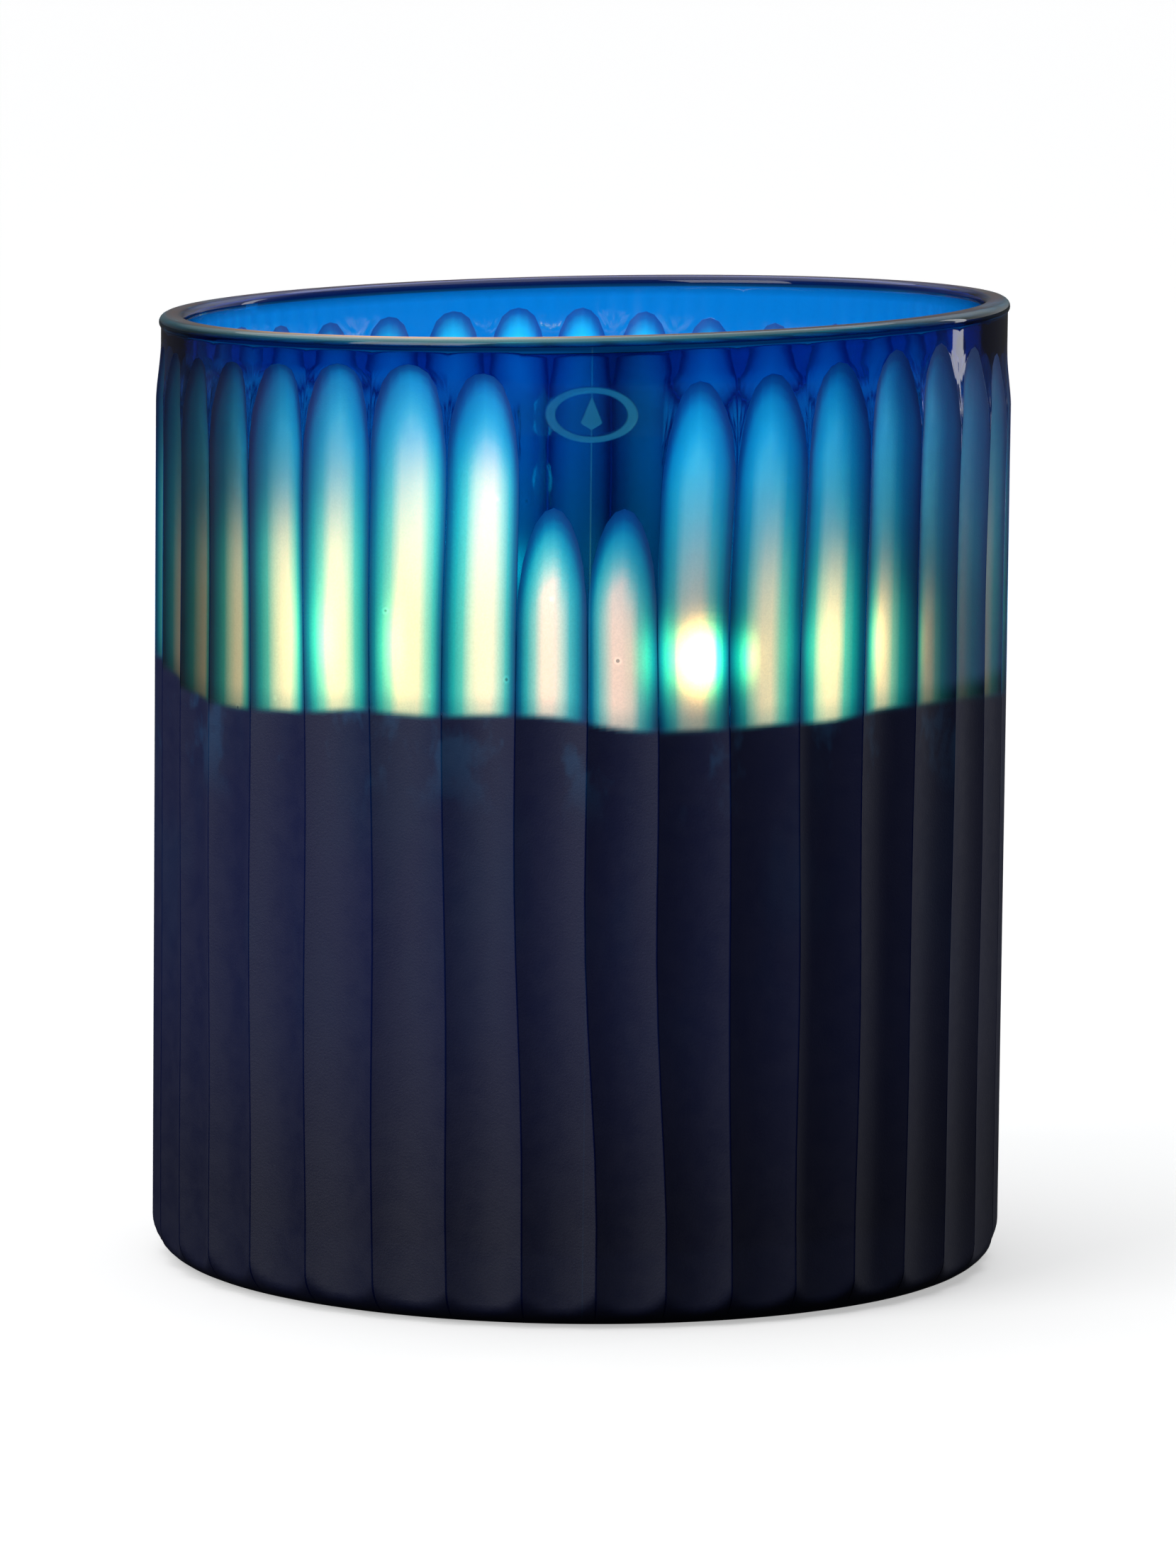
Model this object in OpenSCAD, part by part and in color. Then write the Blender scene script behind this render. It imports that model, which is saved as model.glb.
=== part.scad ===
// Multi-wick candle poured in a flute-cut glass vessel.
// Origin at the centre of the underside, +Z up, front at -Y.

/* [Vessel] */
// Outer diameter of the fluted body
body_d = 161; // [130:1:200]
// Overall height, to the top of the rim
body_h = 183; // [150:1:230]
// Thickness of the glass wall above the wax
wall_t = 4.5; // [4:0.5:8]
// Thickness of the solid glass base
base_t = 12; // [8:1:20]
// Radius of the rounded edge round the underside
foot_r = 7.5; // [5:0.5:12]
// Radius of the corner between the inner wall and the floor
inner_corner_r = 9; // [4:1:14]

/* [Rim] */
// How far the polished neck is set in from the body
neck_in = 0.9; // [0.4:0.1:1.4]
// Height of the neck, from the bead down to the full width of the body
neck_h = 16; // [12:1:20]
// Height of the fire-polished bead round the mouth
bead_h = 2.8; // [2:0.2:4]
// How far the bead stands out from the neck
bead_out = 0.4; // [0.2:0.1:0.8]

/* [Flutes] */
// Number of flutes cut round the body
flute_n = 37; // [24:1:44]
// Depth of a flute at its middle
flute_depth = 1.8; // [1.2:0.1:2.2]
// Distance from the rim down to the tops of the long flutes
long_top = 8; // [5:1:20]
// Distance from the rim down to the tops of the short flutes
short_top = 33; // [20:1:50]
// Number of short flutes, which leave a plain panel above them at the front
short_n = 2; // [0:1:6]

/* [Wax] */
// Height of the set wax above the table
wax_h = 111; // [80:1:130]
// Gap between the wax and the glass wall, from the wax shrinking as it sets
wax_gap = 0.2; // [0.1:0.1:0.5]
// Radius of each melt pool
pool_r = 22; // [16:1:26]
// Depth of the dish under each melt pool
pool_depth = 5; // [3:0.5:7]
// How far the liquid stands below the set wax
pool_drop = 1; // [0.5:0.5:2]

/* [Wicks] */
// Radius of the circle that the wicks stand on
wick_ring_r = 46; // [38:1:48]
// Angle of the first wick from the front, anticlockwise seen from above
wick_turn = 21; // [0:1:45]
// Diameter of a wick
wick_d = 3; // [2:0.5:4]
// Height of the wick above the set wax
wick_proud = 8; // [5:1:12]
// Diameter of the wick tab's disc
tab_d = 20; // [14:1:26]
// Thickness of the wick tab's disc
tab_t = 0.5; // [0.4:0.1:1]
// Height of the crimped neck on the wick tab
tab_neck_h = 8; // [5:1:12]
// Diameter of the glue dot
glue_d = 15; // [10:1:18]
// Thickness of the glue dot
glue_t = 1.2; // [0.8:0.2:2]

/* [Hidden] */
$fn = 96;

// Clearance between a solid and the wax that has set round it
set_gap = 0.1;
// Far enough for a cutter to pass clear of what it cuts
past = 5;
// How far neighbouring flutes cut below the round of the body, so that no sliver of it is left
arris_cut = 0.08;
// Thickness of the metal round the wick in the tab's neck
tab_neck_t = 0.6;

body_r = body_d / 2;
neck_r = body_r - neck_in;
bead_r = neck_r + bead_out;
inner_r = neck_r - wall_t;
wax_r = inner_r - wax_gap;

// Half the width of a flute, and the sideways radius that lets neighbours meet at a sharp arris
flute_half = body_r * sin(180 / flute_n);
arris_drop = body_r * (1 - cos(180 / flute_n)) + arris_cut;
flute_sag = flute_depth - arris_drop;
flute_r = (flute_half * flute_half + flute_sag * flute_sag) / (2 * flute_sag);
// Rise from the last full depth of a flute to the top of its rounded end
run_out = sqrt(2 * flute_r * flute_depth - flute_depth * flute_depth);

// Sphere that shapes the dish under a melt pool
dish_r = (pool_r * pool_r + pool_depth * pool_depth) / (2 * pool_depth);
dish_fn = 300;

wick_r = wick_d / 2;
tab_z = base_t + glue_t;
tab_neck_r = wick_r + tab_neck_t;

// One wick's place on the ring: the first is at the front, to the right
module at_wick(i) {
    rotate([0, 0, wick_turn - 90 + 90 * (i - 1)]) translate([wick_ring_r, 0, 0]) children();
}

// Outline of the vessel's outside, from the axis out and up to the rim
module vessel_outside() {
    difference() {
        union() {
            square([body_r - foot_r, foot_r]);
            translate([body_r - foot_r, foot_r]) circle(foot_r);
            translate([0, foot_r]) square([body_r, body_h - bead_h - neck_h - foot_r]);
            polygon([
                [0, body_h - bead_h - neck_h], [body_r, body_h - bead_h - neck_h],
                [neck_r, body_h - bead_h - neck_h / 2], [neck_r, body_h - bead_h / 2],
                [0, body_h - bead_h / 2]
            ]);
            rim_bead();
        }
        translate([-2 * body_r, -body_h]) square([2 * body_r, 3 * body_h]);
    }
}

// Fire-polished bead: a flat-sided ring with round edges
module rim_bead() {
    edge_r = bead_h / 2;
    translate([bead_r - edge_r, body_h - edge_r]) circle(edge_r);
    translate([inner_r + edge_r, body_h - edge_r]) circle(edge_r);
    translate([inner_r + edge_r, body_h - bead_h])
        square([bead_r - inner_r - 2 * edge_r, bead_h]);
}

// Outline of the hollow, from the floor up through the mouth
module vessel_hollow(r, top) {
    translate([0, base_t]) square([r - inner_corner_r, inner_corner_r]);
    intersection() {
        translate([r - inner_corner_r, base_t + inner_corner_r]) circle(inner_corner_r);
        translate([0, base_t]) square([r, inner_corner_r]);
    }
    translate([0, base_t + inner_corner_r]) square([r, top - base_t - inner_corner_r]);
}

// What one flute takes away: straight off the foot, and rounded where it ends at the top
module flute_cut(top) {
    straight_top = body_h - top - run_out;
    translate([body_r - flute_depth + flute_r, 0, 0]) {
        translate([0, 0, -past]) cylinder(r = flute_r, h = straight_top + past);
        translate([0, 0, straight_top]) sphere(flute_r);
    }
}

// Angle of flute i from +X: the short flutes are the first ones and straddle the front
function flute_angle(i) = -90 + (i - (short_n + 1) / 2) * 360 / flute_n;

// The flute that is cut n-th: every other one first, and then those between
function nth_flute(n) = let (half = ceil(flute_n / 2)) n <= half ? 2 * n - 1 : 2 * (n - half);

// The child with its first n flutes cut, one after another
module fluted(n) {
    if (n == 0) children();
    else difference() {
        fluted(n - 1) children();
        rotate([0, 0, flute_angle(nth_flute(n))])
            flute_cut(nth_flute(n) <= short_n ? short_top : long_top);
    }
}

// The plain blown vessel, before the flutes are cut
module blank() {
    rotate_extrude() difference() {
        vessel_outside();
        vessel_hollow(inner_r, body_h - bead_h);
        translate([0, body_h - bead_h]) square([inner_r, 2 * bead_h]);
    }
}

module glass_vessel() {
    color([0.02, 0.09, 0.32, 0.6]) fluted(flute_n) blank();
}

module wax_fill() {
    color([0.07, 0.09, 0.2]) difference() {
        rotate_extrude() vessel_hollow(wax_r, wax_h);
        for (i = [1 : 4]) at_wick(i) {
            translate([0, 0, wax_h - pool_depth + dish_r]) sphere(dish_r, $fn = dish_fn);
            translate([0, 0, base_t - past]) cylinder(r = glue_d / 2 + set_gap, h = glue_t + past);
            translate([0, 0, tab_z]) cylinder(r = tab_d / 2 + set_gap, h = tab_t + set_gap);
            translate([0, 0, tab_z]) cylinder(r = tab_neck_r + set_gap, h = tab_t + tab_neck_h + set_gap);
            translate([0, 0, tab_z]) cylinder(r = wick_r + set_gap, h = wax_h);
        }
    }
}

// Braided cotton wick, from the tab's disc up to a rounded tip
module wick(i) {
    tip = wax_h + wick_proud;
    color([0.93, 0.9, 0.82]) at_wick(i) {
        translate([0, 0, tab_z]) cylinder(r = wick_r, h = tip - wick_r - tab_z);
        translate([0, 0, tip - wick_r]) sphere(wick_r);
    }
}

// Stamped steel wick tab: a flat disc with a crimped neck
module wick_tab(i) {
    color([0.75, 0.75, 0.77]) at_wick(i) translate([0, 0, tab_z]) difference() {
        union() {
            cylinder(r = tab_d / 2, h = tab_t);
            cylinder(r = tab_neck_r, h = tab_t + tab_neck_h);
        }
        translate([0, 0, -past]) cylinder(r = wick_r + set_gap / 2, h = tab_neck_h + 3 * past);
    }
}

module glue_dot(i) {
    color([0.9, 0.9, 0.88]) at_wick(i) translate([0, 0, base_t]) cylinder(r = glue_d / 2, h = glue_t);
}

// Liquid wax lying in its dish round a wick
module melt_pool(i) {
    color([0.1, 0.13, 0.28, 0.8]) at_wick(i) difference() {
        intersection() {
            translate([0, 0, wax_h - pool_depth + dish_r]) sphere(dish_r - set_gap, $fn = dish_fn);
            translate([0, 0, wax_h - pool_depth]) cylinder(r = pool_r, h = pool_depth - pool_drop);
        }
        translate([0, 0, tab_z]) cylinder(r = wick_r + set_gap / 2, h = wax_h);
    }
}

glass_vessel();
wax_fill();
wick(1);  // wick_1
wick(2);  // wick_2
wick(3);  // wick_3
wick(4);  // wick_4
wick_tab(1);  // wick_tab_1
wick_tab(2);  // wick_tab_2
wick_tab(3);  // wick_tab_3
wick_tab(4);  // wick_tab_4
glue_dot(1);  // glue_dot_1
glue_dot(2);  // glue_dot_2
glue_dot(3);  // glue_dot_3
glue_dot(4);  // glue_dot_4
melt_pool(1);  // melt_pool_1
melt_pool(2);  // melt_pool_2
melt_pool(3);  // melt_pool_3
melt_pool(4);  // melt_pool_4
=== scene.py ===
import math

import bpy
import numpy as np
from mathutils import Matrix, Vector


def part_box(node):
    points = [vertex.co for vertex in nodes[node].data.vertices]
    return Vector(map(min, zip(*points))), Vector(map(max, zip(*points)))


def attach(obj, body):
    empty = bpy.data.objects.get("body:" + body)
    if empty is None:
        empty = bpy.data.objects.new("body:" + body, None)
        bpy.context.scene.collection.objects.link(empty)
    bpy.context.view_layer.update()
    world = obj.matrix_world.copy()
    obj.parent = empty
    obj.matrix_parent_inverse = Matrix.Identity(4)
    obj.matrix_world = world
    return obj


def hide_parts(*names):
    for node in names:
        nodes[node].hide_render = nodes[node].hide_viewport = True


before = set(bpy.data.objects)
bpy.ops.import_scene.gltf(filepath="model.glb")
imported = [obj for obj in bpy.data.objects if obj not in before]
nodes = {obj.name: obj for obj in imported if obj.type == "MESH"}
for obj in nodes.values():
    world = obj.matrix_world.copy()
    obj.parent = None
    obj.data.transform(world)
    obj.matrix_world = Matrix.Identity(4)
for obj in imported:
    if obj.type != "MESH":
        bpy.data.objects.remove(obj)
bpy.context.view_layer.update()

MM = 0.001
glass_lo, glass_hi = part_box("glass_vessel")
wax_lo, wax_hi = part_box("wax_fill")

BODY_R = -glass_lo.y / MM         # the sharp edge between the two front flutes
TOP = glass_hi.z / MM             # highest side of the rim
FLOOR_Z = wax_lo.z / MM           # top of the solid base
WAX_Z = wax_hi.z / MM
WAX_GAP = 0.2                     # the wax has shrunk this far off the wall
INNER_R = wax_hi.x / MM + WAX_GAP
NECK_IN = 0.9                     # the neck is this much narrower than the body, all round
NECK_R = BODY_R - NECK_IN
NECK_FROM, NECK_TO = 162, 173     # heights between which the body draws in to the neck
BEAD_Z = 180.6                    # the bead of the rim begins here
BEAD_R = 1.4                      # rounding of the bead's outer and inner edge
FOOT_R = 7.5                      # rounding of the foot
CORNER_R = 9.0                    # rounding where the inner wall meets the floor

FLUTES = 37
COLS = 12                         # columns of mesh to a flute
PITCH = 360 / FLUTES
DEPTH = 1.75                      # of a flute at its middle
ARCH_H = 20.5                     # half height of the oval that ends a flute
SHORT_BASE = 129.6                # where the ovals of the two short flutes begin
LINE_LOW, LINE_HIGH = 104, 116    # the wax line wanders between these heights
TILT = 2.3                        # the rim drops this much from the right to the front, and again to the left

# How strongly the whole blue layer absorbs red, green and blue
DENSITY = np.array([6.9, 1.53, 0.449])         # in polished glass, and where daylight passes it
EDGE_DENSITY = np.array([6.9, 1.3, 0.6])       # where the light of the flames passes it
VEIL_DENSITY = np.array([11.7, 2.4, 1.5])      # for what is seen through the frosted cuts


# ---------------------------------------------------------------- helpers

def smooth(a, b, x):
    """0 to 1 as x goes from a to b, with soft ends."""
    t = np.clip((x - a) / (b - a), 0, 1)
    return t * t * (3 - 2 * t)


def bell(x, width):
    """1 at 0, falling off to both sides."""
    return np.exp(-0.5 * (x / width) ** 2)


def wrap(deg):
    """The same angle between -180 and 180 degrees."""
    return (deg + 180) % 360 - 180


def mesh_object(name, verts, faces):
    mesh = bpy.data.meshes.new(name)
    mesh.from_pydata([tuple(v) for v in verts], [], faces)
    mesh.validate()
    mesh.update()
    mesh.polygons.foreach_set("use_smooth", [True] * len(mesh.polygons))
    obj = bpy.data.objects.new(name, mesh)
    bpy.context.scene.collection.objects.link(obj)
    return obj


def lathe_faces(rows, cols):
    """Faces of a grid of rows x cols that closes round its columns, with a point to close each end."""
    faces = []
    for r in range(rows - 1):
        a = r * cols
        for c in range(cols):
            d = (c + 1) % cols
            faces.append((a + c, a + d, a + cols + d, a + cols + c))
    tip, last = rows * cols, (rows - 1) * cols
    faces += [(tip, (c + 1) % cols, c) for c in range(cols)]
    faces += [(tip + 1, last + c, last + (c + 1) % cols) for c in range(cols)]
    return faces


def add_attribute(obj, name, values):
    """Store one number or one colour for each vertex, for the material to read."""
    kind = "FLOAT_COLOR" if values.ndim == 2 else "FLOAT"
    attribute = obj.data.attributes.new(name, kind, "POINT")
    if values.ndim == 2:
        rgba = np.ones((len(values), 4), np.float32)
        rgba[:, :3] = values
        attribute.data.foreach_set("color", rgba.ravel())
    else:
        attribute.data.foreach_set("value", values.astype(np.float32))


def finish_piece(obj, material, node=None):
    obj.data.materials.clear()
    obj.data.materials.append(material)
    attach(obj, "root")
    if node:
        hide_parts(node)


class Nodes:
    """A short way to write a node tree."""

    def __init__(self, tree):
        self.tree = tree

    def put(self, socket, value):
        if isinstance(value, bpy.types.NodeSocket):
            self.tree.links.new(value, socket)
        elif isinstance(value, (tuple, list)) and len(value) == 3 and socket.type == "RGBA":
            socket.default_value = (*value, 1)
        else:
            socket.default_value = value

    def math(self, op, a, b=0.0, c=0.0):
        node = self.tree.nodes.new("ShaderNodeMath")
        node.operation = op
        for socket, value in zip(node.inputs, (a, b, c)):
            self.put(socket, value)
        return node.outputs[0]

    def ramp(self, value, low, high, to_low=0.0, to_high=1.0, soft=True):
        node = self.tree.nodes.new("ShaderNodeMapRange")
        node.interpolation_type = "SMOOTHSTEP" if soft else "LINEAR"
        for name, v in zip(("Value", "From Min", "From Max", "To Min", "To Max"),
                           (value, low, high, to_low, to_high)):
            self.put(node.inputs[name], v)
        return node.outputs["Result"]

    def mix(self, factor, a, b, blend="MIX"):
        node = self.tree.nodes.new("ShaderNodeMix")
        node.data_type = "RGBA"
        node.blend_type = blend
        node.clamp_factor = True
        self.put(node.inputs[0], factor)
        self.put(node.inputs[6], a)
        self.put(node.inputs[7], b)
        return node.outputs[2]

    def blend(self, factor, a, b):
        """The shader a at factor 0, and b at factor 1."""
        node = self.tree.nodes.new("ShaderNodeMixShader")
        for socket, value in zip(node.inputs, (factor, a, b)):
            self.put(socket, value)
        return node.outputs[0]

    def place(self, scale=(1, 1, 1), shift=(0, 0, 0)):
        coord = self.tree.nodes.new("ShaderNodeTexCoord")
        node = self.tree.nodes.new("ShaderNodeMapping")
        self.tree.links.new(coord.outputs["Object"], node.inputs["Vector"])
        node.inputs["Scale"].default_value = scale
        node.inputs["Location"].default_value = shift
        return node.outputs[0]

    def noise(self, scale, detail=3.0, rough=0.5, stretch=(1, 1, 1), shift=(0, 0, 0)):
        node = self.tree.nodes.new("ShaderNodeTexNoise")
        self.tree.links.new(self.place(stretch, shift), node.inputs["Vector"])
        node.inputs["Scale"].default_value = scale
        node.inputs["Detail"].default_value = detail
        node.inputs["Roughness"].default_value = rough
        return node.outputs["Fac"]

    def cells(self, scale):
        node = self.tree.nodes.new("ShaderNodeTexVoronoi")
        self.tree.links.new(self.place(), node.inputs["Vector"])
        node.inputs["Scale"].default_value = scale
        return node.outputs

    def xyz(self, space="Object"):
        coord = self.tree.nodes.new("ShaderNodeTexCoord")
        node = self.tree.nodes.new("ShaderNodeSeparateXYZ")
        self.tree.links.new(coord.outputs[space], node.inputs[0])
        return node.outputs

    def attribute(self, name, colour=True):
        node = self.tree.nodes.new("ShaderNodeAttribute")
        node.attribute_name = name
        return node.outputs["Color" if colour else "Fac"]

    def bump(self, height, distance, strength=1.0, under=None):
        node = self.tree.nodes.new("ShaderNodeBump")
        node.inputs["Strength"].default_value = strength
        node.inputs["Distance"].default_value = distance
        self.put(node.inputs["Height"], height)
        if under is not None:
            self.tree.links.new(under, node.inputs["Normal"])
        return node.outputs[0]


class Surface(Nodes):
    """A material with one Principled shader."""

    def __init__(self, name):
        self.material = bpy.data.materials.new(name)
        self.material.use_nodes = True
        super().__init__(self.material.node_tree)
        self.tree.nodes.clear()
        self.shader = self.tree.nodes.new("ShaderNodeBsdfPrincipled")
        out = self.tree.nodes.new("ShaderNodeOutputMaterial")
        self.tree.links.new(self.shader.outputs[0], out.inputs["Surface"])

    def set(self, **values):
        for name, value in values.items():
            self.put(self.shader.inputs[name.replace("_", " ")], value)


# ---------------------------------------------------------------- camera

# The front of the object is where two short flutes meet. The photographer stood 1.6 m away and a little
# to the left of it, looked slightly down and held the camera not quite level.
turn = Matrix.Rotation(math.radians(-1.06), 4, "Z")
eye = turn @ Vector((0, -1.6144, 0.2986))
aim = turn @ Vector((0.0016, 0, 0.0898))
camera = bpy.data.objects.new("camera", bpy.data.cameras.new("camera"))
bpy.context.scene.collection.objects.link(camera)
camera.data.sensor_width = 36
camera.data.lens = 197.2
camera.data.clip_start = 0.05
camera.data.clip_end = 60
roll = Matrix.Rotation(0.0106, 4, "Z")
look = (aim - eye).to_track_quat("-Z", "Y").to_matrix().to_4x4()
camera.matrix_world = Matrix.Translation(eye) @ look @ roll
bpy.context.scene.camera = camera


# ---------------------------------------------------------------- the cut of the flutes

def seam(j):
    """Angle of seam j from the front, towards +X: cut by hand, so the pitch wanders a little."""
    t = 2 * np.pi * j / FLUTES
    return PITCH * j + 0.43 * np.sin(4 * t + 2.26) + 0.56 * np.sin(6 * t - 2.69) - 0.09


def long_base(az):
    """Height at which the ovals of the long flutes begin: it wanders by a few mm."""
    lift = 1.1 * bell(wrap(az + 55), 22) + 0.8 * bell(wrap(az + 33), 4)
    lift = lift + 1.7 * bell(wrap(az + 22.5), 4) + 2.8 * bell(wrap(az - 55), 13)
    return 153.9 - 1.6 * np.cos(np.radians(5 * (az - 7))) + lift


def wax_line(az):
    """Height at which the wax meets the glass."""
    a = np.radians(az)
    dips = 0.9 * bell(wrap(az + 31), 4) + 0.8 * bell(wrap(az - 25), 8) - 1.2 * bell(wrap(az - 5), 5)
    dips = dips + 1.5 * bell(wrap(az + 84), 9) - 2 * bell(wrap(az - 80), 14) - 0.9 * bell(wrap(az - 34), 3.5)
    return WAX_Z - 0.2 + 1.3 * np.cos(5 * a + 1.22) + 0.5 * np.cos(9 * a - 5.97) + dips


col = np.arange(FLUTES * COLS)
flute = col // COLS
part = (col % COLS) / COLS
across = -np.cos(np.pi * part)                         # -1 and 1 at the seams, 0 at the middle
start_az, end_az = seam(flute), seam(flute + 1)
az0 = (start_az + end_az) / 2 + across * (end_az - start_az) / 2
is_short = (flute == 0) | (flute == FLUTES - 1)
base = np.where(is_short, SHORT_BASE, long_base(az0))  # height where each column's oval begins

# The tops of the short flutes and of the long ones, as two lines right round the vessel
oval = ARCH_H * np.sqrt(1 - across ** 2)
line_short = SHORT_BASE + np.where(is_short, oval, 0)
line_long = long_base(az0) + np.where(is_short, 0, oval)


def blank_r(z):
    """Outside radius before the flutes are cut."""
    foot = BODY_R - FOOT_R + np.sqrt(np.clip(FOOT_R ** 2 - (FOOT_R - np.clip(z, 0, FOOT_R)) ** 2, 0, None))
    return foot - NECK_IN * smooth(NECK_FROM, NECK_TO, z)


# Rows of the outside, from the foot up: heights in every column
rows_z = []
ARCH_ROWS, TOP_ROWS = 26, 22      # rows between the tops of the short and long flutes, and above them
LIP = 0.2                         # two rows, this far below and above, frame each line of flute tops


def span(a, b, n):
    """n rows from height a up to, but not at, height b."""
    for i in range(n):
        rows_z.append(a + (b - a) * i / n)


flat = np.ones(len(col))
for angle in np.linspace(0, 90, 11)[:-1]:
    rows_z.append(flat * FOOT_R * (1 - math.cos(math.radians(angle))))
span(flat * FOOT_R, flat * LINE_LOW, 8)
span(flat * LINE_LOW, flat * LINE_HIGH, 24)
span(flat * LINE_HIGH, line_short - LIP, 20)
span(line_short - LIP, line_short + LIP, 2)
span(line_short + LIP, line_long - LIP, ARCH_ROWS)
span(line_long - LIP, line_long + LIP, 2)
span(line_long + LIP, flat * BEAD_Z, TOP_ROWS)
rows_z.append(flat * BEAD_Z)
out_z = np.array(rows_z)
below_long = len(rows_z) - TOP_ROWS - 2                # row of the long flutes' ovals
below_short = below_long - ARCH_ROWS - 2               # row of the short flutes' ovals

rise = np.clip((out_z - base) / ARCH_H, 0, None)       # 0 up to where the oval begins, 1 at its top
cut = DEPTH * (1 + 0.05 * np.sin(2.4 * flute)) * np.clip(1 - across ** 2 - rise ** 2, 0, None)
out_r = np.minimum(blank_r(out_z), BODY_R - NECK_IN * smooth(NECK_FROM, NECK_TO, out_z) - cut)
ground = (cut > 0.01) * 1.0                            # 1 where the wheel has cut

# The flutes lean a little, drift aside near their tops and near the foot, and waver on the way
az = np.tile(az0, (len(out_z), 1))
az = az + (out_z - 69) / 80 * (-0.35 - 0.35 * np.cos(np.radians(2 * (az + 20))))
az = az + 0.8 * smooth(-32, -15, wrap(az)) * smooth(110, 70, wrap(az)) * smooth(125, 168, out_z)
az = az + smooth(80, 12, out_z) * (1.4 * bell(wrap(az - 6), 12) - 0.7 * bell(wrap(az - 52), 14))
az = az + 0.2 * np.sin(out_z / 15 + np.radians(7 * az)) * smooth(4, 30, out_z) * (1 - smooth(150, 170, out_z))

# The rest of the section: bead, inner wall, rounded corner and floor
bead = [(NECK_R - 1.0 + BEAD_R * math.cos(t), TOP - BEAD_R + BEAD_R * math.sin(t))
        for t in np.radians(np.linspace(-38, 90, 8))]
bead += [(INNER_R + BEAD_R + 1.0, TOP)]
bead += [(INNER_R + BEAD_R + BEAD_R * math.cos(t), TOP - BEAD_R + BEAD_R * math.sin(t))
         for t in np.radians(np.linspace(90, 180, 7))]
inner = [(INNER_R, z) for z in np.linspace(TOP - 4, WAX_Z + 6, 14)]
inner += [(INNER_R, z) for z in np.linspace(WAX_Z, FLOOR_Z + CORNER_R, 7)]
inner += [(INNER_R - CORNER_R + CORNER_R * math.cos(t), FLOOR_Z + CORNER_R - CORNER_R * math.sin(t))
          for t in np.radians(np.linspace(15, 90, 6))]
inner += [(INNER_R - CORNER_R - 20, FLOOR_Z), (20, FLOOR_Z)]
under = [(30, 0), (BODY_R - FOOT_R - 6, 0)]

r_all = np.vstack([[flat * r for r, z in under], out_r, [flat * r for r, z in bead + inner]])
z_all = np.vstack([[flat * z for r, z in under], out_z, [flat * z for r, z in bead + inner]])
az_all = np.vstack([[az[0]] * len(under), az, [az[-1]] * len(bead + inner)])
n_under, n_out, n_bead = len(under), len(out_z), len(bead)
outer = slice(n_under, n_under + n_out)

# The mouth was cracked off a little out of level
tip = smooth(171, 180, z_all)
z_all = z_all + tip * TILT * (np.sin(np.radians(az_all)) - 1)


# ---------------------------------------------------------------- colour of the glass and the light behind it

def through(x, density=DENSITY):
    """Colour of light that has passed a share x of the blue layer."""
    return np.exp(-density * np.asarray(x)[..., None])


# Halos of light on the frosted glass: (degrees from the front, width, height of its top, softness, strength).
# Those from 100 to 268 degrees are on the back, which the photo doesn't show.
HALOS = [
    (-54, 5, 142, 6, 0.33), (-42, 5.5, 144, 6, 1.0), (-31, 5.5, 149, 8, 0.85), (-20.5, 5, 157, 6, 0.78),
    (-11.5, 5, 157, 4, 0.85), (-3, 4, 143, 4, 0.7), (4, 4, 137, 5, 0.55), (12, 5, 141, 10, 0.32),
    (25, 5, 140, 8, 0.56), (34.5, 5, 137, 6, 0.85), (44, 4, 132, 5, 0.55), (53, 4, 131, 5, 0.15),
    (75, 9, 146, 6, 0.08), (100, 6, 157, 5, 0.95), (112, 7, 144, 6, 0.8), (130, 8, 139, 6, 0.75),
    (150, 7, 150, 6, 0.7), (168, 7, 157, 5, 0.9), (184, 6, 142, 5, 0.8), (200, 8, 138, 6, 0.6),
    (219, 7, 146, 6, 0.8), (236, 7, 155, 5, 0.85), (252, 7, 141, 6, 0.7), (268, 7, 150, 6, 0.5),
    (290, 7, 140, 6, 0.1),
]
# Hot spots close to the flames: (degrees, height, width in degrees, half height, strength)
SPOTS = [
    (15.7, 122.6, 2.7, 3.4, 7), (-39.8, 125, 2.2, 5.5, 1.1), (-27.0, 124, 1.1, 5.5, 1.4),
    (-37.4, 123, 1.0, 5, 0.8), (9.0, 123, 1.3, 4.2, 4), (21.2, 122.4, 0.8, 3.2, 2.2),
    (29.2, 124, 1.4, 4, 1.0), (33.5, 124, 2.4, 4.5, 0.4), (41.3, 124, 1.3, 4.5, 1.4),
    (50.2, 122.5, 1.2, 4.5, 0.35), (107, 123, 3.2, 3.2, 8), (98, 124, 1.4, 5, 1.5),
    (128, 125, 2.6, 5.5, 1.4), (192, 123, 3.2, 3.2, 8), (176, 124, 1.4, 5, 1.5),
    (221, 125, 2.6, 5.5, 1.4), (249, 123, 2.6, 3.6, 3), (263, 123, 2.6, 3.6, 2.5),
]
FLAME = np.array([1.3, 0.88, 0.28])        # close to a flame
WARM = np.array([1.25, 0.85, 0.67])        # straight in front of a flame
YELLOW = np.array([1.18, 1.0, 0.54])       # off to its sides


def light_behind(a, z):
    """Light that reaches the frosted outside from the flames, at a degrees from the front and height z."""
    halo, spot = np.zeros(a.shape), np.zeros(a.shape)
    for centre, width, top, soft, strength in HALOS:
        halo = halo + strength * bell(wrap(a - centre), width) / (1 + np.exp((z - top) / soft * 1.6))
    for centre, height, width, tall, strength in SPOTS:
        spot = spot + strength * bell(wrap(a - centre), width) * bell(z - height, tall)
    side = smooth(0.1, 0.9, np.abs(np.sin(np.radians(2 * (a - 3)))))[..., None]
    d = z - wax_line(a)
    above = (0.7 * smooth(-0.7, 1.0, d) + 0.3 * smooth(0, 5, d))[..., None]
    lit = halo[..., None] * (WARM * (1 - side) + YELLOW * side) + spot[..., None] * FLAME
    return lit * np.concatenate([above ** 1.6, above ** 1.1, above ** 0.9], axis=-1)


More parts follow.
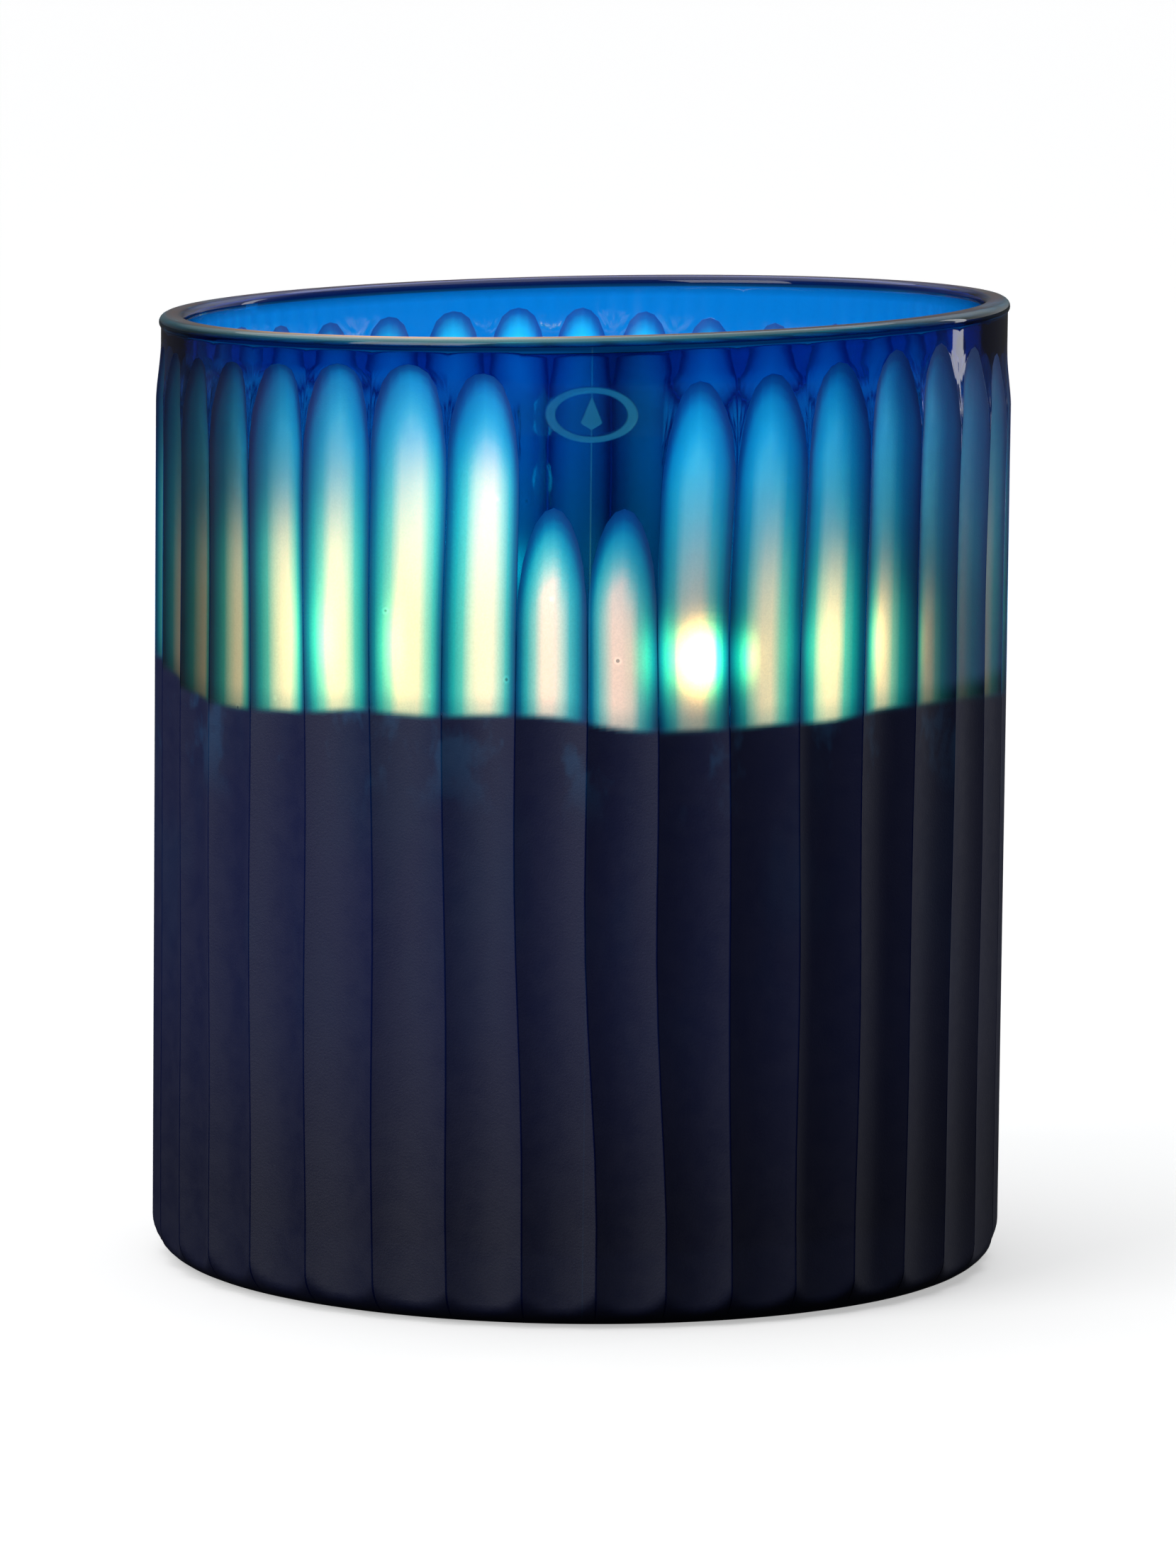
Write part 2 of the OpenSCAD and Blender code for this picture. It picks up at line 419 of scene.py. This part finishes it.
# Painted light: in some flutes the clearest and brightest part is moved off the middle, as the flame light
# falls through them
BRIGHT_SHIFT = [(-180, 0.0), (-62, 0.04), (-53, 0.05), (-43, 0.09), (-33, -0.1), (-23, 0.05), (-12, 0.1), (-3, -0.14),
        (6, -0.05), (15, 0.1), (25, 0.08), (35, 0.03), (45, -0.14), (56, -0.16), (90, 0.0), (180, 0.0)]
u = across[None, :] - np.interp(wrap(az), *zip(*BRIGHT_SHIFT))
right = smooth(8, 20, wrap(az)) * smooth(80, 60, wrap(az))
left = smooth(-46, -58, wrap(az)) * smooth(-95, -80, wrap(az))
u = u * (1 + 0.15 * right + 0.15 * left) + 0.12 * right * smooth(138, 158, out_z)

# Share of the blue layer that is left: none at the middle of a flute, all of it and more at its edge
share = 1 - 1.15 * np.clip(1 - np.abs(u) ** 1.6 - rise ** 2, 0, None)
share = np.clip(share, 0, 1) + 1.1 * smooth(0.55, 1, across[None, :] ** 2 + rise ** 2)
share = np.where(ground > 0, share, 1)
lamps = light_behind(az, out_z)
glow = lamps * (1 - 0.25 * u ** 2)[..., None]

# Daylight comes in from above and shows in the upper half, most of all on the front and the back,
# and a pale haze of it lies on the right, where the glass turns away
daylight = np.clip(0.45 + 0.55 * np.cos(np.radians(2 * (az + 4))), 0.12, 1)
daylight = np.maximum(daylight, 0.85 * smooth(100, 125, np.abs(wrap(az)))) * (1 - 0.4 * left)
daylight = daylight * smooth(120, 165, out_z) * (1.85 - 0.85 * np.cos(np.radians(az)))
daylight = daylight[..., None] * np.array([0.0, 0.12, 0.23])
daylight[..., 1] *= 1 - 0.4 * right
haze = (bell(wrap(az - 68), 11) * smooth(112, 116, out_z))[..., None] * np.array([0.012, 0.026, 0.065])
glow = (glow * through(share, EDGE_DENSITY) + daylight * through(share) + haze) * ground[..., None]

# Below its line the dark wax wets the wall, and the glass takes nearly all the light
dark = smooth(1.0, -0.6, out_z - wax_line(az))[..., None]

# Polished glass, on the neck and the front panel, where painted shade makes it darker toward the front
front_shade = (0.5 + 0.5 * np.cos(np.radians(az)))[..., None]
plain = through(1 + 0.15 * front_shade[..., 0]) ** 2 * (1 - 0.75 * front_shade)
plain[..., 2] *= 1.4 - 0.18 * front_shade[..., 0]
# Painted shade: it is darker toward the two sides, and just right of the middle
plain = plain * (1 - 0.5 * bell(np.abs(wrap(az)) - 60, 14))[..., None]
plain = plain * (1 - 0.82 * bell(wrap(az - 4), 6))[..., None]

# Frosted glass scatters part of its light back, most of all low down. Painted shade: less light passes it
# toward the two sides and on the left, and less where the flame light is painted strongest
side_shade = 0.58 + 0.42 * np.cos(np.radians(2 * (az + 4)))
keep = side_shade * (1 - 0.45 * left) * (0.12 + 0.88 * smooth(125, 165, out_z))
keep = keep * (1 - 0.6 * np.clip(lamps[..., 0], 0, 1))
keep = keep[..., None] * np.array([0.012, 0.62, 1.0])
outside = np.where(ground[..., None] > 0, through(share, VEIL_DENSITY) * keep, plain)

# Glass that the wax wets: darker toward the foot, and lighter in a patch of painted light on the left, about
# halfway up
NAVY = np.array([0.004, 0.010, 0.080])
low = 0.5 + 0.5 * smooth(10, 60, out_z)
lit_patch = 1 + 0.3 * bell(out_z - 85, 22) * bell(wrap(az + 28), 26)
navy = NAVY * (low * lit_patch)[..., None]

CLEAR_TINT = 0.97                 # the clear glass inside the blue layer
WAXED = 0.05                      # how much light still passes where wax lies behind the glass
tint = np.ones((*r_all.shape, 3)) * CLEAR_TINT
tint[:n_under] = NAVY
tint[outer] = outside * (1 - dark) + navy * dark
# Painted shade: the bead is made dark
tint[n_under + n_out:n_under + n_out + n_bead] = through(1.0) ** 2 * 0.2
glow_all = np.zeros((*r_all.shape, 3))
glow_all[outer] = glow
frost = np.zeros(r_all.shape)
frost[outer] = ground
gloss = np.full(r_all.shape, 0.5)
gloss[outer] += 0.5 * ground * dark[..., 0]
clear = np.ones(r_all.shape)
clear[:n_under] = WAXED
clear[outer] = 1 - (1 - WAXED) * dark[..., 0]

# Fine lines of flame light caught in the bead: peach on its inner edge, teal on its outer one
bead_az = az_all[n_under + n_out]
teal = 0.2 + 0.8 * bell(wrap(bead_az + 16), 26)
peach = 0.06 + 0.94 * bell(wrap(bead_az + 24), 17)
TEAL_ROW, PEACH_ROW = 4.9, 8.0    # rows of the bead that the lines run along
for i in range(n_bead):
    outer_line = teal[:, None] * bell(i - TEAL_ROW, 1.1) * np.array([0.004, 0.18, 0.21])
    inner_line = peach[:, None] * bell(i - PEACH_ROW, 1.5) * np.array([0.95, 0.55, 0.28])
    glow_all[n_under + n_out + i] = outer_line + inner_line

a = np.radians(az_all)
verts = np.stack([r_all * np.sin(a), -r_all * np.cos(a), z_all], axis=-1).reshape(-1, 3) * MM
verts = np.vstack([verts, [[0, 0, 0], [0, 0, FLOOR_Z * MM]]])
vessel = mesh_object("vessel", verts, lathe_faces(len(r_all), len(col)))


def with_ends(values, first, last):
    """Values of the grid's vertices, then those of the two points that close it below and inside."""
    return np.concatenate([values.reshape(-1, *values.shape[2:]), [first], [last]])


add_attribute(vessel, "tint", with_ends(tint, through(0.8) ** 2, np.full(3, CLEAR_TINT)))
add_attribute(vessel, "glow", with_ends(glow_all, np.zeros(3), np.zeros(3)))
add_attribute(vessel, "frost", with_ends(frost, 0, 0))
add_attribute(vessel, "clear", with_ends(clear, WAXED, 1))
add_attribute(vessel, "gloss", with_ends(gloss, 0.5, 0.5))

# The edges between flutes, and round the ovals that end them, are crisp
ends = np.empty(len(vessel.data.edges) * 2, int)
vessel.data.edges.foreach_get("vertices", ends)
row, column = np.divmod(ends.reshape(-1, 2), len(col))
row = row - n_under
inside = (row.min(1) >= 2) & (row.max(1) < n_out)
top_row = np.where(is_short, below_short, below_long)
seam_top = np.maximum(top_row, np.roll(top_row, 1))
along_seam = inside & (column[:, 0] == column[:, 1]) & (column[:, 0] % COLS == 0)
along_seam &= row.max(1) <= seam_top[column[:, 0]]
along_oval = inside & (row[:, 0] == row[:, 1])
along_oval &= row[:, 0] == top_row[column].min(1)
vessel.data.attributes.new("sharp_edge", "BOOLEAN", "EDGE").data.foreach_set("value", along_seam | along_oval)


# ---------------------------------------------------------------- glass

glass = Surface("cut_glass")
x, y, z = glass.xyz()
frost_n = glass.attribute("frost", colour=False)
mottle = glass.noise(260, 4, 0.6)
grain = glass.noise(2600, 2, 0.6)
streak = glass.noise(90, 3, 0.55, stretch=(1, 1, 0.12))
wave = glass.noise(38, 2, 0.4, stretch=(1, 1, 0.5))

# A plain oval mark with a drop in it, etched on the panel above the short flutes
MARK_Z, MARK_HALF_W, MARK_HALF_H = 0.1668, 0.0082, 0.0049
mz = glass.math("SUBTRACT", z, MARK_Z)
ring = glass.math("ADD", glass.math("POWER", glass.math("DIVIDE", x, MARK_HALF_W), 2),
              glass.math("POWER", glass.math("DIVIDE", mz, MARK_HALF_H), 2))
ring = glass.math("ABSOLUTE", glass.math("SUBTRACT", glass.math("SQRT", ring), 0.9))
ring = glass.ramp(ring, 0.13, 0.07)
taper = glass.ramp(mz, -0.0026, 0.0032, 0.0024, 0.0, soft=False)
half_w = glass.math("MULTIPLY", taper, glass.ramp(mz, -0.0028, -0.0012))
drop = glass.math("SUBTRACT", glass.math("ABSOLUTE", x), half_w)
drop = glass.ramp(drop, 0.0002, -0.0002)
front = glass.math("LESS_THAN", y, 0)
mark = glass.math("MULTIPLY", glass.math("MAXIMUM", ring, drop), front)

rough = glass.math("MULTIPLY", frost_n, glass.ramp(mottle, 0.3, 0.7, 0.50, 0.58))
rough = glass.math("ADD", rough, glass.ramp(streak, 0.3, 0.8, 0.015, 0.05))
rough = glass.math("MAXIMUM", rough, glass.math("MULTIPLY", mark, 0.25))
colour = glass.mix(glass.math("MULTIPLY", mark, 0.16), glass.attribute("tint"), (0.005, 0.20, 0.45))

# Below its line the wax wets the glass unevenly: broad mottling, and near the line a few brighter patches,
# painted light that leaks down where the wax has come away from the wall
filled = glass.math("SUBTRACT", 1.0, glass.attribute("clear", colour=False))
blotch = glass.ramp(glass.noise(42, 4, 0.6, stretch=(1, 1, 0.4), shift=(0.2, 0.1, 0.0)), 0.46, 0.66)
blotch = glass.math("MULTIPLY", glass.math("MULTIPLY", blotch, glass.ramp(z, 0.035, 0.085)), filled)
colour = glass.mix(glass.math("MULTIPLY", blotch, 0.6), colour, (0.004, 0.026, 0.115))
gap_light = glass.ramp(glass.noise(75, 4, 0.6, stretch=(1, 1, 0.55), shift=(0.012, 0.02, 0.03)), 0.54, 0.64)
gap_light = glass.math("MULTIPLY", gap_light, glass.ramp(z, 0.090, 0.106))
gap_light = glass.math("MULTIPLY", gap_light, filled)
colour = glass.mix(glass.math("MULTIPLY", gap_light, 0.9), colour, (0.012, 0.075, 0.22))

# Seeds: small bubbles, here and there in the glass, with painted shade at the middle and a painted highlight
# in a ring round it
seed = glass.cells(210)
speck = glass.math("LESS_THAN", glass.math("FRACT", glass.math("MULTIPLY", seed["Color"], 7.31)), 0.10)
core = glass.math("MULTIPLY", glass.ramp(seed["Distance"], 0.10, 0.05), speck)
halo = glass.math("MULTIPLY", glass.ramp(seed["Distance"], 0.20, 0.10), speck)
seed_shade = glass.math("SUBTRACT", glass.math("MULTIPLY", halo, 0.25), glass.math("MULTIPLY", core, 0.8))
shade = glass.ramp(blotch, 0.25, 0.75, 0.93, 1.05)
shade = glass.math("MULTIPLY", shade, glass.ramp(streak, 0.3, 0.7, 0.95, 1.04))
shade = glass.math("MULTIPLY", shade, glass.ramp(grain, 0.25, 0.75, 0.94, 1.06))
shade = glass.math("MULTIPLY", shade, glass.math("ADD", 1.0, seed_shade))
glow_n = glass.mix(1.0, glass.attribute("glow"), shade, "MULTIPLY")
relief = glass.bump(glass.math("MULTIPLY", grain, frost_n), 0.00006, 0.5)
relief = glass.bump(wave, 0.0006, 0.12, under=relief)
glass.set(
    Base_Color=colour, Roughness=rough, IOR=1.5, Transmission_Weight=glass.attribute("clear", colour=False),
    Specular_IOR_Level=glass.attribute("gloss", colour=False),
    Emission_Color=glow_n, Emission_Strength=1.0, Normal=relief)
finish_piece(vessel, glass.material, "glass_vessel")


# ---------------------------------------------------------------- wax

def wick_place(i):
    """Place of wick i, and the heights of its two ends."""
    lo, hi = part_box(f"wick_{i}")
    return (lo.x + hi.x) / 2 / MM, (lo.y + hi.y) / 2 / MM, lo.z / MM, hi.z / MM


wicks = {i: wick_place(i) for i in (1, 2, 3, 4)}
WAX_TOP = WAX_Z - 0.5             # the wax between the pools; it climbs a little at the wall
POOL_R = 22.0
POOL_DEPTH = 5.0                  # of the melted dish at its middle
DISH_EDGE = 0.012                 # how softly the dish runs out into the wax round it
POOL_DROP = 1.0                   # the liquid stands this far below the wax round it
POOL_GAP = 0.12                   # and its underside this far off the dish


def pool_edge(i, phi):
    """Radius of the dish round wick i: the melt spreads unevenly."""
    return POOL_R * (1 + 0.035 * np.sin(2 * phi + 1.3 * i) + 0.02 * np.sin(5 * phi + 2.1 * i)) - 0.8


def dish(i, px, py):
    """Depth of the melted dish round wick i."""
    dx, dy = px - wicks[i][0], py - wicks[i][1]
    share = np.hypot(dx, dy) / pool_edge(i, np.arctan2(dy, dx))
    bowl = 1 - share ** 2
    return POOL_DEPTH * 0.5 * (bowl + np.sqrt(bowl ** 2 + DISH_EDGE)) * (share < 1.4)


def wax_top(px, py):
    """Height of the wax, dished round the wicks and raised where it wets the wall."""
    r = np.hypot(px, py)
    a = np.degrees(np.arctan2(px, -py))
    z = WAX_TOP + (wax_line(a) - WAX_TOP) * smooth(58, 74.8, r)
    z = z + 0.22 * np.sin(px / 7) * np.cos(py / 9 + 1) * (1 - smooth(66, 74, r))
    return z - sum(dish(i, px, py) for i in wicks)


wax_r = INNER_R + 0.1            # the wax wets the wall, so the two surfaces meet
cols = 240
theta = np.linspace(0, 2 * np.pi, cols, endpoint=False)
prof = [(20, FLOOR_Z), (46, FLOOR_Z), (wax_r - CORNER_R, FLOOR_Z)]
prof += [(wax_r - CORNER_R + CORNER_R * math.sin(t), FLOOR_Z + CORNER_R - CORNER_R * math.cos(t))
         for t in np.radians(np.linspace(15, 90, 6))]
rows = [(np.full(cols, r), np.full(cols, z)) for r, z in prof]
for s in np.linspace(0, 1, 13)[1:-1]:
    side_h = wax_line(np.degrees(theta)) - 0.6 - FLOOR_Z - CORNER_R
    rows.append((np.full(cols, wax_r), FLOOR_Z + CORNER_R + s * side_h))
ring_r = np.concatenate([[wax_r - 0.02, wax_r - 0.25, wax_r - 0.8], np.linspace(wax_r - 2, 1.5, 58)])
for r in ring_r:
    lift = 0.35 * (1 - smooth(0, 1.2, wax_r - r)) - 0.35
    rows.append((np.full(cols, r), wax_top(r * np.sin(theta), -r * np.cos(theta)) + lift * (r > wax_r - 1.3)))
verts = np.concatenate([np.stack([r * np.sin(theta), -r * np.cos(theta), z], axis=-1) for r, z in rows])
verts = np.vstack([verts, [[0, 0, FLOOR_Z], [0, 0, float(wax_top(np.zeros(1), np.zeros(1))[0])]]]) * MM
wax = mesh_object("wax", verts, lathe_faces(len(rows), cols))

wax_look = Surface("dark_wax")
z = wax_look.xyz()["Z"]
cloud = wax_look.noise(45, 4, 0.55)
fine = wax_look.noise(520, 3, 0.6)
near_top = wax_look.ramp(z, 0.086, 0.1105)
# Painted light: brighter blue patches near the top, where light leaks down between the wax and the glass
gap_light = wax_look.ramp(wax_look.noise(70, 3, 0.5, shift=(0.3, 0.1, 0.2)), 0.60, 0.66)
gap_light = wax_look.math("MULTIPLY", gap_light, near_top)
colour = wax_look.mix(cloud, (0.004, 0.005, 0.016), (0.010, 0.012, 0.030))
colour = wax_look.mix(gap_light, colour, (0.02, 0.16, 0.34))
wax_look.set(
    Base_Color=colour, Roughness=wax_look.ramp(fine, 0.3, 0.7, 0.34, 0.52), IOR=1.44,
    Coat_Weight=0.15, Coat_Roughness=0.25,
    Normal=wax_look.bump(wax_look.math("ADD", wax_look.math("MULTIPLY", cloud, 0.7), fine), 0.0004, 0.35))
finish_piece(wax, wax_look.material, "wax_fill")

liquid = Surface("liquid_wax")
swirl = liquid.noise(60, 3, 0.5)
liquid.set(
    Base_Color=liquid.mix(swirl, (0.006, 0.008, 0.028), (0.014, 0.02, 0.055)), Roughness=0.05, IOR=1.44,
    Coat_Weight=1.0, Coat_Roughness=0.02, Normal=liquid.bump(swirl, 0.0006, 0.12))


def make_pool(i):
    px, py, _, _ = wicks[i]
    cols = 96
    phi = np.linspace(0, 2 * np.pi, cols, endpoint=False)
    level = WAX_TOP - POOL_DROP
    rim = pool_edge(i, phi) * math.sqrt(1 - (POOL_DROP + 0.1) / POOL_DEPTH)
    rows = []
    for s in (0.12, 0.3, 0.5, 0.7, 0.85, 0.95, 1.0):
        q = px + rim * s * np.cos(phi), py + rim * s * np.sin(phi)
        rows.append((q, np.minimum(wax_top(*q) + POOL_GAP, level - 0.02)))
    for s in (0.995, 0.985, 0.96, 0.9, 0.75, 0.5, 0.25, 0.1):
        q = px + rim * s * np.cos(phi), py + rim * s * np.sin(phi)
        # The meniscus: the liquid climbs a little at its edge and at the wick
        climb = 0.35 * np.exp(-(1 - s) * 22) + 0.45 * np.exp(-(s * 20 - 1.6) / 1.4) * (s < 0.3)
        rows.append((q, np.full(cols, level + climb)))
    verts = np.concatenate([np.stack([q[0], q[1], z], axis=-1) for q, z in rows])
    low = float(wax_top(np.array([px]), np.array([py]))[0]) + POOL_GAP
    verts = np.vstack([verts, [[px, py, low], [px, py, level + 0.4]]]) * MM
    pool = mesh_object(f"pool_{i}", verts, lathe_faces(len(rows), cols))
    finish_piece(pool, liquid.material, f"melt_pool_{i}")


# ---------------------------------------------------------------- wicks and flames

cotton = Surface("braided_cotton")
z = cotton.xyz()["Z"]
thread = cotton.noise(2400, 2, 0.6, stretch=(1, 1, 0.25))
ragged = cotton.math("SUBTRACT", cotton.noise(700, 3, 0.6), 0.5)
char = cotton.math("ADD", z, cotton.math("MULTIPLY", ragged, 0.003))
char = cotton.ramp(char, (WAX_Z + 1.2) * MM, (WAX_Z + 4) * MM)
soaked = cotton.ramp(z, (WAX_Z - 1.5) * MM, (WAX_Z + 2) * MM)
colour = cotton.mix(thread, (0.42, 0.40, 0.36), (0.78, 0.75, 0.68))
colour = cotton.mix(soaked, cotton.mix(0.55, colour, (0.05, 0.06, 0.12)), colour)
colour = cotton.mix(char, colour, cotton.mix(thread, (0.004, 0.0035, 0.003), (0.03, 0.026, 0.024)))
ember = cotton.ramp(z, (WAX_Z + 6.6) * MM, (WAX_Z + 7.8) * MM)
ember = cotton.math("MULTIPLY", ember, cotton.ramp(thread, 0.4, 0.7))
cotton.set(
    Base_Color=colour, Roughness=cotton.ramp(thread, 0.3, 0.7, 0.75, 0.95), Sheen_Weight=0.3,
    Emission_Color=cotton.mix(1.0, (1.0, 0.22, 0.03), ember, "MULTIPLY"), Emission_Strength=2.0,
    Normal=cotton.bump(thread, 0.0003, 0.6))


WICK_R = 1.36
BRAID_H = 0.12                    # how far the strands stand out


def make_wick(i):
    """A braid that leans over a little at its charred tip; returns the place of the tip."""
    px, py, low, high = wicks[i]
    cols = 24
    heights = np.concatenate([np.linspace(low, WAX_Z - 8, 24), np.arange(WAX_Z - 7.7, high - 0.9, 0.3)])
    phi = np.linspace(0, 2 * np.pi, cols, endpoint=False)
    rows = []
    bend = 1.3 * i + 0.4
    for h in list(heights) + [high - 0.75, high - 0.35, high - 0.1]:
        braid = np.maximum(np.sin(3 * phi + h * 1.9), np.sin(3 * phi - h * 1.9))
        r = WICK_R + BRAID_H * braid
        up = max(0.0, h - WAX_Z - 1)
        r = r * (1 - 0.035 * up) * math.sqrt(max(0.02, min(1.0, (high - h) / 0.9)))
        off = 0.030 * up ** 2
        rows.append((px + off * math.cos(bend) + r * np.cos(phi), py + off * math.sin(bend) + r * np.sin(phi),
                     np.full(cols, h)))
    verts = np.concatenate([np.stack(q, axis=-1) for q in rows])
    tips = [[px, py, low], [rows[-1][0].mean(), rows[-1][1].mean(), high]]
    wick = mesh_object(f"wick_braid_{i}", np.vstack([verts, tips]) * MM, lathe_faces(len(rows), cols))
    finish_piece(wick, cotton.material, f"wick_{i}")
    return rows[-1][0].mean(), rows[-1][1].mean(), high


fire = Surface("candle_flame")
z = fire.xyz()["Z"]
climb = fire.ramp(z, 0.116, 0.142, soft=False)
hot = fire.mix(fire.ramp(climb, 0.05, 0.45), (0.05, 0.12, 0.6), (1.0, 0.55, 0.16))
hot = fire.mix(fire.ramp(climb, 0.35, 0.75), hot, (1.0, 0.74, 0.38))
lick = fire.ramp(fire.noise(240, 2, 0.5, stretch=(1, 1, 0.4)), 0.3, 0.7, 0.85, 1.1)
fade = fire.ramp(climb, 1.0, 0.9, 0.2, 1.0)
fire.set(
    Base_Color=(0.0, 0.0, 0.0), Roughness=1.0, Specular_IOR_Level=0.0, Emission_Color=hot,
    Emission_Strength=fire.math("MULTIPLY", fire.ramp(climb, 0.0, 0.5, 0.6, 7.0), lick),
    Alpha=fire.math("MULTIPLY", fire.ramp(climb, 0.0, 0.4, 0.35, 0.95), fade))


FLAME_R, FLAME_H = 4.1, 25.0


def make_flame(i, tx, ty, top):
    """A flame on the tip of a wick, and a small light inside it. Neither is seen through the glass."""
    cols, low, tall = 32, top - 2.5, FLAME_H + 1.2 * math.sin(2.2 * i)
    phi = np.linspace(0, 2 * np.pi, cols, endpoint=False)
    rows = []
    for s in np.linspace(0.02, 0.985, 30):
        r = FLAME_R * math.sin(math.pi * s ** 0.62) ** 0.9 * (1 - 0.55 * s)
        sway = 0.5 * math.sin(2.4 * s + i)
        rows.append((tx + sway + r * np.cos(phi), ty - 0.4 * sway + r * np.sin(phi),
                     np.full(cols, low + tall * s)))
    verts = np.concatenate([np.stack(q, axis=-1) for q in rows])
    tips = [[rows[0][0].mean(), rows[0][1].mean(), low], [rows[-1][0].mean(), rows[-1][1].mean(), low + tall]]
    flame = mesh_object(f"flame_{i}", np.vstack([verts, tips]) * MM, lathe_faces(len(rows), cols))
    finish_piece(flame, fire.material)
    flame.visible_transmission = False
    flame.visible_shadow = False
    lamp = bpy.data.lights.new(f"flame_light_{i}", "POINT")
    lamp.energy = 0.035
    lamp.color = (1.0, 0.62, 0.30)
    lamp.shadow_soft_size = 0.004
    holder = bpy.data.objects.new(lamp.name, lamp)
    holder.location = (tx * MM, ty * MM, (low + 0.5 * tall) * MM)
    holder.visible_transmission = False
    bpy.context.scene.collection.objects.link(holder)


for i in wicks:
    make_pool(i)
    make_flame(i, *make_wick(i))


# ---------------------------------------------------------------- wick tabs and glue

steel = Surface("tab_steel")
brush = steel.noise(900, 3, 0.6, stretch=(1, 0.08, 1))
stain = steel.noise(220, 4, 0.6)
steel.set(
    Base_Color=steel.mix(stain, (0.42, 0.43, 0.45), (0.66, 0.67, 0.69)), Metallic=1.0,
    Roughness=steel.ramp(brush, 0.3, 0.7, 0.24, 0.42), Normal=steel.bump(brush, 0.00005, 0.5))
glue = Surface("hot_glue")
lump = glue.noise(350, 3, 0.5)
glue.set(
    Base_Color=glue.mix(lump, (0.62, 0.60, 0.54), (0.80, 0.79, 0.74)),
    Roughness=glue.ramp(lump, 0.3, 0.7, 0.30, 0.5), Subsurface_Weight=0.4, Subsurface_Scale=0.002,
    Normal=glue.bump(lump, 0.0003, 0.4))
for i in wicks:
    for name, look, slot in ((f"wick_tab_{i}", steel, "tab_steel"), (f"glue_dot_{i}", glue, "glue")):
        nodes[name].data.materials.clear()
        nodes[name].data.materials.append(look.material)


# ---------------------------------------------------------------- stage

def clear_view(n):
    """1 for what is seen straight or through glass, 0 for what lights the object or is mirrored in it."""
    path = n.tree.nodes.new("ShaderNodeLightPath").outputs
    straight = n.math("MAXIMUM", path["Is Camera Ray"], path["Is Transmission Ray"])
    turned = n.math("ADD", path["Diffuse Depth"], path["Glossy Depth"])
    return n.math("MULTIPLY", straight, n.math("LESS_THAN", turned, 0.5))


def make_world():
    """White behind the object. What lights it, or is mirrored in it, is a dark room with a white backdrop."""
    world = bpy.data.worlds.new("studio")
    bpy.context.scene.world = world
    world.use_nodes = True
    n = Nodes(world.node_tree)
    white = n.tree.nodes["Background"]
    n.put(white.inputs["Color"], (1.0, 1.0, 1.0))
    n.put(white.inputs["Strength"], 1.05)
    x, y, z = n.xyz("Generated")
    backdrop = n.ramp(y, 0.1, 0.7, 0.0, 0.5)
    ceiling = n.ramp(z, 0.2, 0.8, -0.09, 0.10, soft=False)
    above = n.ramp(z, 0.25, 0.5, 0.15, 1.0, soft=False)
    beside = n.ramp(x, 0.1, 0.5, 0.0, 0.8, soft=False)
    room = n.math("ADD", n.math("MULTIPLY", backdrop, n.math("ADD", above, beside)), ceiling)
    mirrored = n.tree.nodes.new("ShaderNodeLightPath").outputs["Is Glossy Ray"]
    dim = n.tree.nodes.new("ShaderNodeBackground")
    n.put(dim.inputs["Color"], (0.94, 0.96, 1.0))
    n.put(dim.inputs["Strength"], n.math("MULTIPLY_ADD", room, mirrored, 0.12))
    seen = n.blend(clear_view(n), dim.outputs[0], white.outputs[0])
    n.put(n.tree.nodes["World Output"].inputs["Surface"], seen)


def make_floor():
    """A white floor that runs on behind the object. The glass mirrors it dark, and lighter far back."""
    bpy.ops.mesh.primitive_plane_add(size=40, location=(0, 8, 0))
    floor = bpy.context.object
    floor.name = "floor"
    material = bpy.data.materials.new("floor")
    material.use_nodes = True
    n = Nodes(material.node_tree)
    n.tree.nodes.clear()
    diffuse = n.tree.nodes.new("ShaderNodeBsdfDiffuse")
    n.put(diffuse.inputs["Color"], (0.85, 0.85, 0.85))
    lift = n.tree.nodes.new("ShaderNodeEmission")
    n.put(lift.inputs["Strength"], 0.43)
    both = n.tree.nodes.new("ShaderNodeAddShader")
    n.put(both.inputs[0], diffuse.outputs[0])
    n.put(both.inputs[1], lift.outputs[0])
    mirrored = n.tree.nodes.new("ShaderNodeEmission")
    n.put(mirrored.inputs["Strength"], n.ramp(n.xyz()["Y"], -7.8, -7.0, 0.004, 0.04, soft=False))
    out = n.tree.nodes.new("ShaderNodeOutputMaterial")
    n.put(out.inputs["Surface"], n.blend(clear_view(n), mirrored.outputs[0], both.outputs[0]))
    floor.data.materials.append(material)


def light(name, kind, energy, place, look_at=(0, 0, 0.1), **settings):
    lamp = bpy.data.lights.new(name, kind)
    lamp.energy = energy
    for key, value in settings.items():
        setattr(lamp, key, value)
    obj = bpy.data.objects.new(name, lamp)
    obj.location = place
    obj.rotation_euler = (Vector(look_at) - Vector(place)).to_track_quat("-Z", "Y").to_euler()
    bpy.context.scene.collection.objects.link(obj)


make_world()
make_floor()
light("overhead", "SUN", 1.75, (-0.25, 0.3, 2.0), angle=math.radians(90))
light("left_box", "AREA", 12, (-1.25, -1.05, 0.95), shape="RECTANGLE", size=1.1, size_y=1.1)
light("right_strip", "AREA", 1.4, (1.4, 0.75, 0.42), shape="RECTANGLE", size=0.18, size_y=0.9)

scene = bpy.context.scene
scene.view_settings.view_transform = "Standard"
scene.cycles.max_bounces = 16
scene.cycles.transmission_bounces = 14
scene.cycles.sample_clamp_indirect = 4
